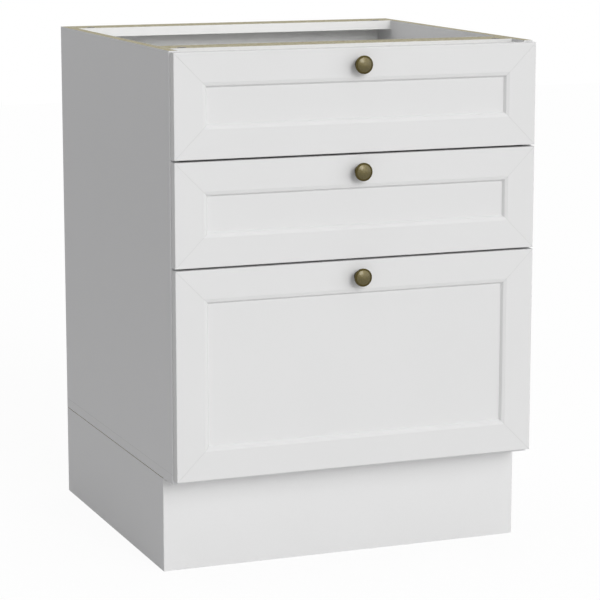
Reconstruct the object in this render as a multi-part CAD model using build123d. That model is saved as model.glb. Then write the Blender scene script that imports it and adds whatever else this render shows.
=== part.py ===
from build123d import *
import os

# Base cabinet with three drawers behind framed fronts, standing on its own plinth box.
# Chipboard carcass in white melamine, open at the top between two flat rails that carry a
# worktop. The drawers run on full-extension ball slides and have a round knob each.
# Millimetres. X runs to the right, Y to the back and Z up. The origin is on the floor, at
# the middle of the whole outline, knobs included.

# ---------------------------------------------------------------- driving dimensions

WIDTH = 600.0  # carcass and plinth, outside
HEIGHT = 810.0  # floor to the top of the carcass
DEPTH = 580.0  # front edges of the sides to the outer face of the back panel

BOARD = 15.0  # carcass and plinth boards
BOX_BOARD = 15.0  # drawer box boards
BACK_THICKNESS = 3.0  # hardboard back panel
BACK_REVEAL = 1.0  # the back panel stops this far inside the outline
EDGE_ROUNDING = 0.8  # edged front arrises of the boards

RAIL_DEPTH = 56.0  # top rails, front to back
RAIL_SETBACK = 42.0  # front rail behind the front edges of the sides

PLINTH_HEIGHT = 150.0
PLINTH_SETBACK = 47.0  # plinth face behind the front edges of the sides
PLINTH_JOINT = 1.0  # open joint between the plinth boards and the carcass
PLINTH_BLOCK = 40.0  # square section of the corner blocks that carry the carcass

FRONT_THICKNESS = 16.0
FRONT_STANDOFF = 0.5  # backs of the fronts to the front edges of the sides
SIDE_REVEAL = 2.0  # ends of the fronts to the outside of the carcass
TOP_REVEAL = 2.0
BOTTOM_REVEAL = 6.0
FRONT_JOINT = 3.0  # between one front and the next
UPPER_FRONT_HEIGHT = 160.0  # the two upper fronts; the lowest one takes the rest

FRAME_FLAT = 45.0  # flat face of a frame member
BEVEL_WIDTH = 5.0  # shallow slope inside the flat
BEVEL_DROP = 1.3
STEP_WIDTH = 3.0  # short steep slope down to the panel
PANEL_RECESS = 5.5  # panel face behind the frame face
STEP_LIP = 0.4  # square edge left where the steep slope meets the panel
FRAME_ROUNDING = 1.0  # outer arris of the frame
MITRE_JOINT = 0.1  # open line left at each mitre
PANEL_TONGUE = 6.0  # thickness of the panel's edge in its groove
GROOVE_DEPTH = 8.0
TONGUE_PLAY = 1.0  # between the tongue and the bottom of its groove
GROOVE_PLAY = 0.1  # behind the tongue

KNOB_DIAMETER = 28.0
KNOB_PROJECTION = 20.0
KNOB_FOOT = 17.0  # diameter on the front
KNOB_FOOT_HEIGHT = 1.2
KNOB_NECK = 11.0
KNOB_NECK_HEIGHT = 5.5  # narrowest place above the front
KNOB_DOME_HEIGHT = 2.5
KNOB_RIM = 2.8  # thickness of the head's rim
KNOB_BEAD = 1.6  # rim's outside to the fine groove round the dome
KNOB_DROP = 25.0  # knob centre below the top edge of its front
KNOB_BORE_DEPTH = 11.0

RUNNER_WIDTH = 13.0  # room that a slide takes beside the drawer box
RUNNER_HEIGHT = 45.0
RUNNER_WALL = 1.2
RUNNER_INSET = 2.0  # runner ends behind the front edges of the sides
RUNNER_STEP = 50.0  # slides come in lengths of whole steps
REAR_CLEARANCE = 60.0  # least room kept behind the slides
MIDDLE_SHORTER = 20.0  # middle channel to the others
CAGE_LENGTH = 150.0
ACCESS_HOLE = 10.0  # in the middle channel, in front of each channel screw
RUNNER_RISE = 50.0  # slide centre above the lower edge of the drawer box
MEMBER_SPACING = 3.2  # between one slide member and the next, filled by the ball cages
CAGE_PLAY = 0.3  # ball cage to the members on its two sides

BOX_BELOW = 12.0  # lower edge of an upper drawer box above the lower edge of its front
BOX_ABOVE = 48.0  # upper edge of a drawer box below the upper edge of its front
FLOOR_CLEARANCE = 8.0  # lowest drawer box above the bottom panel
BOX_BOTTOM_THICKNESS = 3.0
BOX_BOTTOM_RISE = 8.0  # groove for the drawer bottom above the lower edge
BOX_GROOVE_DEPTH = 7.0
BOX_GROOVE_PLAY = 0.2
BOX_BOTTOM_PLAY = 1.0  # between the drawer bottom's edge and the bottom of its groove

CAM_DIAMETER = 15.0
CAM_BELOW_BOLT = 5.0  # depth of the cam's pocket below the bolt
CAM_REACH = 24.0  # cam centre to the end of the rail
CAM_INSET = 12.0  # cam centre behind the front edge of the rail
DOWEL_DIAMETER = 8.0
DOWEL_LENGTH = 30.0
DOWEL_IN_SIDE = 11.0
DOWEL_INSET = 14.0  # dowel centre in front of the rear edge of the rail
HOLE_PLAY = 0.1  # all round a fastener in its hole
HOLE_END_PLAY = 0.5  # beyond the tip of a fastener

# ---------------------------------------------------------------- planes and places

RIGHT, LEFT = (1, 0, 0), (-1, 0, 0)
BACKWARD, FORWARD = (0, 1, 0), (0, -1, 0)
UP, DOWN = (0, 0, 1), (0, 0, -1)

HALF_WIDTH = WIDTH / 2
INNER_HALF = HALF_WIDTH - BOARD  # inner faces of the sides

Y_KNOB = -(KNOB_PROJECTION + FRONT_THICKNESS + FRONT_STANDOFF + DEPTH) / 2
Y_FACE = Y_KNOB + KNOB_PROJECTION  # faces of the drawer fronts
Y_FRONT_BACK = Y_FACE + FRONT_THICKNESS
Y_SIDES = Y_FRONT_BACK + FRONT_STANDOFF  # front edges of the sides
Y_REAR = Y_SIDES + DEPTH  # outer face of the back panel
Y_INNER_REAR = Y_REAR - BACK_THICKNESS  # rear edges of the sides
Y_PLINTH = Y_SIDES + PLINTH_SETBACK

Z_FLOOR = PLINTH_HEIGHT + BOARD  # upper face of the bottom panel

FRONT_WIDTH = WIDTH - 2 * SIDE_REVEAL
FRAME_WIDTH = FRAME_FLAT + BEVEL_WIDTH + STEP_WIDTH

RUNNER_ROOM = DEPTH - BACK_THICKNESS - RUNNER_INSET - REAR_CLEARANCE
RUNNER_LENGTH = RUNNER_STEP * int(RUNNER_ROOM / RUNNER_STEP)
MIDDLE_LENGTH = RUNNER_LENGTH - MIDDLE_SHORTER
Y_RUNNER = Y_SIDES + RUNNER_INSET

BOX_HALF = INNER_HALF - RUNNER_WIDTH  # outer faces of the drawer box
BOX_INNER_HALF = BOX_HALF - BOX_BOARD
Y_BOX = Y_FRONT_BACK
Y_BOX_END = Y_RUNNER + RUNNER_LENGTH

# name of each drawer, with the lower and upper edges of its front and of its box
DRAWERS = []
upper_edge = HEIGHT - TOP_REVEAL
for name in ("top", "middle", "bottom"):
    if name == "bottom":
        lower_edge = PLINTH_HEIGHT + BOTTOM_REVEAL
        box_low = Z_FLOOR + FLOOR_CLEARANCE
    else:
        lower_edge = upper_edge - UPPER_FRONT_HEIGHT
        box_low = lower_edge + BOX_BELOW
    DRAWERS.append((name, lower_edge, upper_edge, box_low, upper_edge - BOX_ABOVE))
    upper_edge = lower_edge - FRONT_JOINT


# ---------------------------------------------------------------- making helpers


def board(x0, x1, y0, y1, z0, z1):
    """A square-cut board between two corners."""
    return Pos(x0, y0, z0) * Box(x1 - x0, y1 - y0, z1 - z0, align=(Align.MIN,) * 3)


def prism(points, z0, z1):
    """An upright piece with the given plan outline."""
    outline = make_face(Polyline(*[(x, y, z0) for x, y in points], close=True))
    return extrude(outline, amount=z1 - z0, dir=UP)


def turned(points):
    """A turned piece on the Z axis, from its half outline of (radius, height) points."""
    outline = make_face(Polyline(*[(r, 0, h) for r, h in points], close=True))
    return revolve(outline, Axis.Z)


def aim(x, y, z, direction):
    """The place of a fastener whose head is at a point and whose shank runs along direction."""
    return Plane(origin=(x, y, z), z_dir=direction).location


def spread(first, last, count):
    """Evenly spaced places from first to last."""
    return [first + (last - first) * i / (count - 1) for i in range(count)]


def save(node, *pieces):
    """Writes one sub-part; like pieces go together as separate solids."""
    solids = [solid for piece in pieces for solid in piece.solids()]
    shape = solids[0] if len(solids) == 1 else Compound(solids)
    export_step(shape, f"parts/{node}.step")


# ---------------------------------------------------------------- fasteners
# Each is made on the Z axis with its head at height 0 and its shank running upwards.


def cross_recess(width, depth, wing=0.9):
    """The cross cut of a screwdriver, into a head at height 0."""
    bar = Box(width, wing, 2 * depth)
    return bar + Rot(0, 0, 90) * bar


def countersunk_screw(length, shank, head):
    """A chipboard screw: flat countersunk head, straight shank and short point."""
    head_height = (head - shank) / 2
    body = turned(
        [
            (0, 0),
            (head / 2, 0),
            (head / 2, 0.3),
            (shank / 2, head_height + 0.3),
            (shank / 2, length - shank),
            (0.3, length),
            (0, length),
        ]
    )
    return body - cross_recess(head * 0.55, head * 0.25)


def countersunk_hole(length, shank, head):
    """The hole that a countersunk screw fills."""
    head_height = (head - shank) / 2
    radius = shank / 2 + HOLE_PLAY
    return turned(
        [
            (0, -1.0),
            (head / 2 + HOLE_PLAY, -1.0),
            (head / 2 + HOLE_PLAY, 0.3 + HOLE_PLAY),
            (radius, head_height + 0.3 + HOLE_PLAY),
            (radius, length + HOLE_END_PLAY),
            (0, length + HOLE_END_PLAY),
        ]
    )


def pan_screw(length, shank, head, head_height):
    """A screw with a low pan head that stands on the surface, above height 0."""
    body = turned(
        [
            (0, -head_height),
            (head / 2 - head_height / 2, -head_height),
            (head / 2, -head_height / 3),
            (head / 2, 0),
            (shank / 2, 0),
            (shank / 2, length - shank / 2),
            (shank / 4, length),
            (0, length),
        ]
    )
    return body - Pos(0, 0, -head_height) * cross_recess(head * 0.5, head_height * 0.6)


def straight_hole(length, shank, play=HOLE_PLAY):
    """A drilled hole, open at height 0."""
    return Pos(0, 0, -1.0) * Cylinder(
        shank / 2 + play,
        length + HOLE_END_PLAY + 1.0,
        align=(Align.CENTER, Align.CENTER, Align.MIN),
    )


# joining screw of the carcass and the drawer boxes: hexagon socket, thick neck, thinner thread
JOINER = {"length": 50.0, "neck": 7.0, "neck_end": 14.0, "thread": 5.0, "head": 10.0}


def joiner_outline(play, end_play, top):
    """Half outline of the joining screw, or of its hole when play is given."""
    neck = JOINER["neck"] / 2 + play
    thread = JOINER["thread"] / 2 + play
    head = JOINER["head"] / 2 + play
    taper = (JOINER["head"] - JOINER["neck"]) / 2
    length = JOINER["length"] + end_play
    return [
        (0, top),
        (head, top),
        (head, 0.8 + play),
        (neck, 0.8 + taper + play),
        (neck, JOINER["neck_end"] + play),
        (thread, JOINER["neck_end"] + play + 1.0),
        (thread, length - 2.0),
        (thread - 1.0, length),
        (0, length),
    ]


def joining_screw():
    socket = extrude(RegularPolygon(2.3, 6), amount=3.0)
    return turned(joiner_outline(0, 0, 0)) - socket


def joining_hole():
    return turned(joiner_outline(HOLE_PLAY, HOLE_END_PLAY, -1.0))


JOINING_SCREW, JOINING_HOLE = joining_screw(), joining_hole()

PLINTH_SCREW_BITE = 10.0  # into a plinth board, through a corner block
FRONT_SCREW_BITE = (FRONT_THICKNESS - PANEL_RECESS) * 2 / 3
PLINTH_SCREW_SIZE = (PLINTH_BLOCK + PLINTH_SCREW_BITE, 4.0, 8.0)  # length, shank, head
FRONT_SCREW_SIZE = (BOX_BOARD + FRONT_SCREW_BITE, 4.0, 7.5)
RUNNER_SCREW_SIZE = (11.0, 4.0, 7.5)  # length, shank, head
RUNNER_SCREW_HEAD = 1.4  # height of its low head
KNOB_SCREW_SIZE = (FRONT_THICKNESS + KNOB_BORE_DEPTH - 2.0, 4.0, 8.0)
KNOB_SCREW_HEAD = 2.6
NAIL_LENGTH = 22.0
NAIL_SHANK = 1.6
NAIL_HEAD = 4.0
NAIL_HEAD_HEIGHT = 0.8

PLINTH_SCREW = countersunk_screw(*PLINTH_SCREW_SIZE)
PLINTH_SCREW_HOLE = countersunk_hole(*PLINTH_SCREW_SIZE)
FRONT_SCREW = countersunk_screw(*FRONT_SCREW_SIZE)
FRONT_SCREW_HOLE = countersunk_hole(*FRONT_SCREW_SIZE)
RUNNER_SCREW = pan_screw(*RUNNER_SCREW_SIZE, RUNNER_SCREW_HEAD)
RUNNER_SCREW_HOLE = straight_hole(*RUNNER_SCREW_SIZE[:2])
KNOB_SCREW = pan_screw(*KNOB_SCREW_SIZE, KNOB_SCREW_HEAD)
KNOB_SCREW_HOLE = straight_hole(*KNOB_SCREW_SIZE[:2], play=0.2)


def nail_outline(play, top):
    """Half outline of a back panel nail, or of its hole when play is given."""
    return [
        (0, top),
        (NAIL_HEAD / 2 + play, top),
        (NAIL_HEAD / 2 + play, NAIL_HEAD_HEIGHT + play),
        (NAIL_SHANK / 2 + play, NAIL_HEAD_HEIGHT + play),
        (NAIL_SHANK / 2 + play, NAIL_LENGTH - 1.5 + play),
        (0, NAIL_LENGTH + play),
    ]


NAIL = turned(nail_outline(0, 0))
NAIL_HOLE = turned(nail_outline(HOLE_PLAY, -1.0))

# ---------------------------------------------------------------- cam fittings and dowels
# Both top rails are held at each end by one cam on its bolt and by one dowel.

RAIL_MIDDLE = HEIGHT - BOARD / 2
CAM_DEPTH = BOARD / 2 + CAM_BELOW_BOLT
RAIL_FRONTS = {
    "rail_front": Y_SIDES + RAIL_SETBACK,
    "rail_rear": Y_INNER_REAR - RAIL_DEPTH,
}
CAM_CLEARANCE = 0.1  # cam in its pocket
BOLT_THREAD = 6.0
BOLT_IN_SIDE = 11.0
BOLT_SHAFT = 5.0
BOLT_HEAD = 7.0
BOLT_COLLAR = 7.6
BOLT_BORE = 8.0  # bore in the rail's end
BOLT_HEAD_LENGTH = 3.0
CAM_MOUTH = 8.2  # opening in the cam that takes the bolt's head


def cam_lock():
    """Cam housing, its cross slot on top at height 0 and its mouth towards +X."""
    drum = Cylinder(
        CAM_DIAMETER / 2 - CAM_CLEARANCE,
        CAM_DEPTH - 0.5,
        align=(Align.CENTER, Align.CENTER, Align.MAX),
    )
    slot = cross_recess(10.0, 2.5, wing=1.8)
    mouth = Pos(-2.0, 0, -BOARD / 2) * (
        Rot(0, 90, 0)
        * Cylinder(CAM_MOUTH / 2, CAM_DIAMETER, align=(Align.CENTER, Align.CENTER, Align.MIN))
    )
    rim = Cylinder(CAM_DIAMETER / 2, 0.8) - Cylinder(CAM_DIAMETER / 2 - 0.6, 0.8)
    return drum - slot - mouth - rim


def cam_bolt():
    """Bolt on the Z axis: thread below height 0 in the side, shaft above it in the rail."""
    tip = CAM_REACH + 1.5
    return turned(
        [
            (0, -BOLT_IN_SIDE),
            (BOLT_THREAD / 2 - 1.0, -BOLT_IN_SIDE),
            (BOLT_THREAD / 2, 1.0 - BOLT_IN_SIDE),
            (BOLT_THREAD / 2, 0),
            (BOLT_COLLAR / 2, 0),
            (BOLT_COLLAR / 2, 3.0),
            (BOLT_SHAFT / 2, 4.0),
            (BOLT_SHAFT / 2, tip - BOLT_HEAD_LENGTH - 1.0),
            (BOLT_HEAD / 2, tip - BOLT_HEAD_LENGTH),
            (BOLT_HEAD / 2, tip - 1.0),
            (BOLT_HEAD / 2 - 1.0, tip),
            (0, tip),
        ]
    )


def dowel():
    """A beech dowel on the Z axis with chamfered ends, its foot at height 0."""
    radius = DOWEL_DIAMETER / 2
    return turned(
        [
            (0, 0),
            (radius - 1.0, 0),
            (radius, 1.0),
            (radius, DOWEL_LENGTH - 1.0),
            (radius - 1.0, DOWEL_LENGTH),
            (0, DOWEL_LENGTH),
        ]
    )


def bore(diameter, length, play=0.0):
    """A drilled bore from height 0 upwards."""
    return Cylinder(
        diameter / 2 + play, length, align=(Align.CENTER, Align.CENTER, Align.MIN)
    )


CAM = cam_lock()
CAM_BOLT = cam_bolt()
DOWEL = dowel()

cams, bolts, dowels = [], [], []
rail_cuts = {rail: [] for rail in RAIL_FRONTS}
side_cuts = {-1: [], 1: []}
for rail, y_front in RAIL_FRONTS.items():
    y_cam = y_front + CAM_INSET
    y_dowel = y_front + RAIL_DEPTH - DOWEL_INSET
    for side in (-1, 1):
        inward = RIGHT if side < 0 else LEFT
        outward = LEFT if side < 0 else RIGHT
        x_face = side * INNER_HALF
        x_cam = x_face - side * CAM_REACH
        turn = Rot(0, 0, 0 if side > 0 else 180)
        cams.append(Pos(x_cam, y_cam, HEIGHT) * turn * CAM)
        bolts.append(aim(x_face, y_cam, RAIL_MIDDLE, inward) * CAM_BOLT)
        x_foot = x_face + side * DOWEL_IN_SIDE
        dowels.append(aim(x_foot, y_dowel, RAIL_MIDDLE, inward) * DOWEL)
        in_rail = DOWEL_LENGTH - DOWEL_IN_SIDE + HOLE_END_PLAY
        rail_cuts[rail] += [
            Pos(x_cam, y_cam, HEIGHT - CAM_DEPTH) * bore(CAM_DIAMETER, CAM_DEPTH + 1.0),
            aim(x_face, y_cam, RAIL_MIDDLE, inward) * bore(BOLT_BORE, CAM_REACH),
            aim(x_face, y_dowel, RAIL_MIDDLE, inward) * bore(DOWEL_DIAMETER, in_rail, HOLE_PLAY),
        ]
        side_cuts[side] += [
            aim(x_face, y_cam, RAIL_MIDDLE, outward)
            * bore(BOLT_THREAD, BOLT_IN_SIDE + HOLE_END_PLAY, HOLE_PLAY),
            aim(x_face, y_dowel, RAIL_MIDDLE, outward)
            * bore(DOWEL_DIAMETER, DOWEL_IN_SIDE + HOLE_END_PLAY, HOLE_PLAY),
        ]

# ---------------------------------------------------------------- other fasteners' places

# joining screws come up through the bottom panel into the sides
BOTTOM_SCREW_INSET = 45.0
bottom_screw_places = [
    aim(side * (HALF_WIDTH - BOARD / 2), y, PLINTH_HEIGHT, UP)
    for side in (-1, 1)
    for y in spread(Y_SIDES + BOTTOM_SCREW_INSET, Y_INNER_REAR - BOTTOM_SCREW_INSET, 4)
]

# nails hold the back panel to the sides, the bottom panel and the rear rail
NAIL_INSET = 40.0
nail_places = [
    aim(side * (HALF_WIDTH - BOARD / 2), Y_REAR, z, FORWARD)
    for side in (-1, 1)
    for z in spread(Z_FLOOR + NAIL_INSET, HEIGHT - NAIL_INSET, 7)
]
nail_places += [
    aim(x, Y_REAR, z, FORWARD)
    for z in (PLINTH_HEIGHT + BOARD / 2, HEIGHT - BOARD / 2)
    for x in spread(NAIL_INSET - HALF_WIDTH, HALF_WIDTH - NAIL_INSET, 5)
]

# corner blocks of the plinth: centre of each, and which way its corner points
BLOCK_TO_FRONT = Y_PLINTH + BOARD
BLOCK_TO_REAR = Y_INNER_REAR - BOARD
BLOCK_SCREW_OFFSET = 8.0  # screws of the two directions pass beside the block's centre
BLOCK_SCREW_LOW = 30.0  # lowest screw above the floor
BLOCK_SCREW_HIGH = 37.5  # highest screw below the carcass
BLOCK_SCREW_STEP = 22.5  # to the screws of the other direction
BLOCK_CORNERS = [(x, y) for x in (-1, 1) for y in (-1, 1)]


def block_centre(x_way, y_way):
    """Plan place of a corner block's centre."""
    x = x_way * (INNER_HALF - PLINTH_BLOCK / 2)
    y = BLOCK_TO_FRONT + PLINTH_BLOCK / 2 if y_way < 0 else BLOCK_TO_REAR - PLINTH_BLOCK / 2
    return x, y


plinth_screw_places = []
for x_way, y_way in BLOCK_CORNERS:
    x, y = block_centre(x_way, y_way)
    x_inside = x - x_way * PLINTH_BLOCK / 2
    y_inside = y - y_way * PLINTH_BLOCK / 2
    x_beside = x - x_way * BLOCK_SCREW_OFFSET
    y_beside = y - y_way * BLOCK_SCREW_OFFSET
    z_low, z_high = BLOCK_SCREW_LOW, PLINTH_HEIGHT - BLOCK_SCREW_HIGH
    for z in (z_low, z_high):
        plinth_screw_places.append(aim(x_beside, y_inside, z, (0, y_way, 0)))
    for z in (z_low + BLOCK_SCREW_STEP, z_high - BLOCK_SCREW_STEP):
        plinth_screw_places.append(aim(x_inside, y_beside, z, (x_way, 0, 0)))
    x_down = x + x_way * BLOCK_SCREW_OFFSET
    y_down = y + y_way * BLOCK_SCREW_OFFSET
    plinth_screw_places.append(aim(x_down, y_down, Z_FLOOR, DOWN))

# the slides' fixed channels are screwed to the sides, three screws each
RUNNER_SCREW_INSET = 37.0
RUNNER_SCREW_YS = spread(
    Y_RUNNER + RUNNER_SCREW_INSET, Y_RUNNER + RUNNER_LENGTH - RUNNER_SCREW_INSET, 3
)
channel_screw_places = {-1: [], 1: []}
for name, front_low, front_high, box_low, box_high in DRAWERS:
    for side in (-1, 1):
        outward = LEFT if side < 0 else RIGHT
        for y in RUNNER_SCREW_YS:
            channel_screw_places[side].append(
                aim(side * (INNER_HALF - RUNNER_WALL), y, box_low + RUNNER_RISE, outward)
            )


# ---------------------------------------------------------------- carcass


def carcass_side(side):
    """A side panel, standing on the bottom panel."""
    outer, inner = side * HALF_WIDTH, side * INNER_HALF
    panel = board(
        min(outer, inner), max(outer, inner), Y_SIDES, Y_INNER_REAR, Z_FLOOR, HEIGHT
    )
    front_arrises = panel.edges().filter_by(Axis.Z).group_by(Axis.Y)[0]
    panel = fillet(front_arrises, EDGE_ROUNDING)
    cuts = list(side_cuts[side])
    cuts += [place * JOINING_HOLE for place in bottom_screw_places]
    cuts += [place * NAIL_HOLE for place in nail_places]
    cuts += [place * RUNNER_SCREW_HOLE for place in channel_screw_places[side]]
    return panel - cuts


def bottom_panel():
    """The bottom panel, full width, with the sides standing on its ends."""
    panel = board(-HALF_WIDTH, HALF_WIDTH, Y_SIDES, Y_INNER_REAR, PLINTH_HEIGHT, Z_FLOOR)
    front_corners = panel.edges().filter_by(Axis.Z).group_by(Axis.Y)[0]
    panel = fillet(front_corners, EDGE_ROUNDING)
    cuts = [place * JOINING_HOLE for place in bottom_screw_places]
    cuts += [place * NAIL_HOLE for place in nail_places]
    cuts += [place * PLINTH_SCREW_HOLE for place in plinth_screw_places]
    return panel - cuts


def top_rail(rail):
    """A top rail lying flat between the sides."""
    y_front = RAIL_FRONTS[rail]
    strip = board(
        -INNER_HALF, INNER_HALF, y_front, y_front + RAIL_DEPTH, HEIGHT - BOARD, HEIGHT
    )
    return strip - (rail_cuts[rail] + [place * NAIL_HOLE for place in nail_places])


def back_panel():
    """The thin back panel, nailed on behind."""
    sheet = board(
        BACK_REVEAL - HALF_WIDTH,
        HALF_WIDTH - BACK_REVEAL,
        Y_INNER_REAR,
        Y_REAR,
        PLINTH_HEIGHT + BACK_REVEAL,
        HEIGHT - BACK_REVEAL,
    )
    return sheet - [place * NAIL_HOLE for place in nail_places]


# ---------------------------------------------------------------- plinth


def plinth_board(points):
    """A plinth board from its plan outline, drilled for the block screws."""
    strip = prism(points, 0.0, PLINTH_HEIGHT - PLINTH_JOINT)
    return strip - [place * PLINTH_SCREW_HOLE for place in plinth_screw_places]


# the plinth's front arrises are taken off by this much, half on each board
ARRIS = (HALF_WIDTH - EDGE_ROUNDING / 2, Y_PLINTH + EDGE_ROUNDING / 2)


def plinth_front():
    """The plinth's face board, mitred at both ends."""
    return plinth_board(
        [
            (EDGE_ROUNDING - HALF_WIDTH, Y_PLINTH),
            (HALF_WIDTH - EDGE_ROUNDING, Y_PLINTH),
            ARRIS,
            (INNER_HALF, BLOCK_TO_FRONT),
            (-INNER_HALF, BLOCK_TO_FRONT),
            (-ARRIS[0], ARRIS[1]),
        ]
    )


def plinth_side(side):
    """A plinth side board, mitred at its front end and square at the rear."""
    return plinth_board(
        [
            (side * HALF_WIDTH, Y_PLINTH + EDGE_ROUNDING),
            (side * ARRIS[0], ARRIS[1]),
            (side * INNER_HALF, BLOCK_TO_FRONT),
            (side * INNER_HALF, Y_INNER_REAR),
            (side * HALF_WIDTH, Y_INNER_REAR),
        ]
    )


def plinth_rear():
    """The plinth's rear board, between the side boards."""
    return plinth_board(
        [
            (-INNER_HALF, BLOCK_TO_REAR),
            (INNER_HALF, BLOCK_TO_REAR),
            (INNER_HALF, Y_INNER_REAR),
            (-INNER_HALF, Y_INNER_REAR),
        ]
    )


def corner_block(x_way, y_way):
    """A softwood block in a corner of the plinth, standing proud of the boards."""
    x, y = block_centre(x_way, y_way)
    half = PLINTH_BLOCK / 2
    post = board(x - half, x + half, y - half, y + half, 0.0, PLINTH_HEIGHT)
    return post - [place * PLINTH_SCREW_HOLE for place in plinth_screw_places]


# ---------------------------------------------------------------- slides
# Seen along Y, each slide is three nested channels. Distances count from the side panel.

CHANNEL_LIP = 9.5  # fixed channel, on the side panel
MIDDLE_WEB = 3.4
MIDDLE_LIP = 11.2
DRAWER_LIP = 6.5  # drawer channel, its web on the drawer box
MIDDLE_HEIGHT = RUNNER_HEIGHT - 2 * (RUNNER_WALL + MEMBER_SPACING)
DRAWER_HEIGHT = MIDDLE_HEIGHT - 2 * (RUNNER_WALL + MEMBER_SPACING)
OUTER_CAGE = (4.8, 9.2)  # reach of the ball cages round the middle member
INNER_CAGE = (7.0, 10.8)  # and of those inside it


def channel(side, web, lip, height, y0, y1, z):
    """A channel section with its web at one distance from the side and its lips at another."""
    x_web, x_lip = side * (INNER_HALF - web), side * (INNER_HALF - lip)
    wall = RUNNER_WALL if web < lip else -RUNNER_WALL
    x_inside = side * (INNER_HALF - web - wall)
    outer = board(min(x_web, x_lip), max(x_web, x_lip), y0, y1, z - height / 2, z + height / 2)
    half_inside = height / 2 - RUNNER_WALL
    hollow = board(
        min(x_inside, x_lip),
        max(x_inside, x_lip),
        y0,
        y1,
        z - half_inside,
        z + half_inside,
    )
    return outer - hollow


def ball_cage(side, reach, z_inner, way, y0, y1, z):
    """A strip that holds the balls between the lips of two channels."""
    x0, x1 = side * (INNER_HALF - reach[0]), side * (INNER_HALF - reach[1])
    near, far = z_inner + CAGE_PLAY, z_inner + MEMBER_SPACING - CAGE_PLAY
    z0, z1 = z + way * near, z + way * far
    return board(min(x0, x1), max(x0, x1), y0, y1, min(z0, z1), max(z0, z1))


def fixed_channel(side, z):
    """The channel on the side panel."""
    piece = channel(side, 0.0, CHANNEL_LIP, RUNNER_HEIGHT, Y_RUNNER, Y_RUNNER + RUNNER_LENGTH, z)
    return piece - [place * RUNNER_SCREW_HOLE for place in channel_screw_places[side]]


def middle_members(side, z):
    """The middle channel of a slide with its four ball cages."""
    y0, y1 = Y_RUNNER, Y_RUNNER + MIDDLE_LENGTH
    y_outer, y_inner = y1 - CAGE_LENGTH, y0 + CAGE_LENGTH
    inward = RIGHT if side < 0 else LEFT
    holes = [
        aim(side * INNER_HALF, y, z, inward) * bore(ACCESS_HOLE, MIDDLE_LIP)
        for y in RUNNER_SCREW_YS
    ]
    pieces = [channel(side, MIDDLE_WEB, MIDDLE_LIP, MIDDLE_HEIGHT, y0, y1, z) - holes]
    for way in (-1, 1):
        pieces.append(ball_cage(side, OUTER_CAGE, MIDDLE_HEIGHT / 2, way, y_outer, y1, z))
        pieces.append(ball_cage(side, INNER_CAGE, DRAWER_HEIGHT / 2, way, y0, y_inner, z))
    return pieces


def drawer_channel(side, z, screw_places):
    """The channel on the drawer box."""
    piece = channel(
        side, RUNNER_WIDTH, DRAWER_LIP, DRAWER_HEIGHT, Y_RUNNER, Y_RUNNER + RUNNER_LENGTH, z
    )
    return piece - [place * RUNNER_SCREW_HOLE for place in screw_places]


# ---------------------------------------------------------------- drawer fronts


def frame_profile():
    """Section of a frame member: outer edge at height 0, face at Y 0, panel edge below."""
    inner = -FRAME_WIDTH
    groove_back = PANEL_RECESS + PANEL_TONGUE + GROOVE_PLAY
    groove_floor = inner + GROOVE_DEPTH
    edge = FRAME_ROUNDING
    corner = RadiusArc((0, -edge), (edge, 0), edge)
    rest = Polyline(
        (edge, 0),
        (FRONT_THICKNESS, 0),
        (FRONT_THICKNESS, inner),
        (groove_back, inner),
        (groove_back, groove_floor),
        (PANEL_RECESS, groove_floor),
        (PANEL_RECESS, inner),
        (PANEL_RECESS - STEP_LIP, inner),
        (BEVEL_DROP, inner + STEP_WIDTH),
        (0, -FRAME_FLAT),
        (0, -edge),
    )
    return Plane.YZ * make_face(corner + rest)


def frame_member(length):
    """A mitred frame member along X, its outer edge at height 0 and its face at Y 0."""
    bar = extrude(Pos(-length / 2, 0, 0) * frame_profile(), amount=length, dir=RIGHT)
    half_joint = MITRE_JOINT / 2 * 2**0.5  # measured along the outer edge
    long_half = length / 2 - half_joint
    short_half = long_half - FRAME_WIDTH
    outline = Polyline(
        (-long_half, 0, 0),
        (long_half, 0, 0),
        (short_half, 0, -FRAME_WIDTH),
        (-short_half, 0, -FRAME_WIDTH),
        close=True,
    )
    return bar & extrude(make_face(outline), amount=FRONT_THICKNESS, dir=BACKWARD)


def front_members(low, high):
    """Rails and stiles of one front."""
    middle = (low + high) / 2
    rail = frame_member(FRONT_WIDTH)
    stile = frame_member(high - low)
    rails = [Pos(0, Y_FACE, high) * rail, Pos(0, Y_FACE, low) * Rot(0, 180, 0) * rail]
    stiles = [
        Pos(side * FRONT_WIDTH / 2, Y_FACE, middle) * Rot(0, side * 90, 0) * stile
        for side in (-1, 1)
    ]
    return rails, stiles


def front_panel(low, high):
    """The recessed panel, its tongue in the frame's groove and its back flush with the frame."""
    y_panel = Y_FACE + PANEL_RECESS
    reach = GROOVE_DEPTH - TONGUE_PLAY - FRAME_WIDTH
    tongue_half = FRONT_WIDTH / 2 + reach
    tongue = board(
        -tongue_half, tongue_half, y_panel, y_panel + PANEL_TONGUE, low - reach, high + reach
    )
    inset = FRAME_WIDTH + TONGUE_PLAY / 2
    back_half = FRONT_WIDTH / 2 - inset
    back = board(-back_half, back_half, y_panel, Y_FRONT_BACK, low + inset, high - inset)
    return tongue + back


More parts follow.
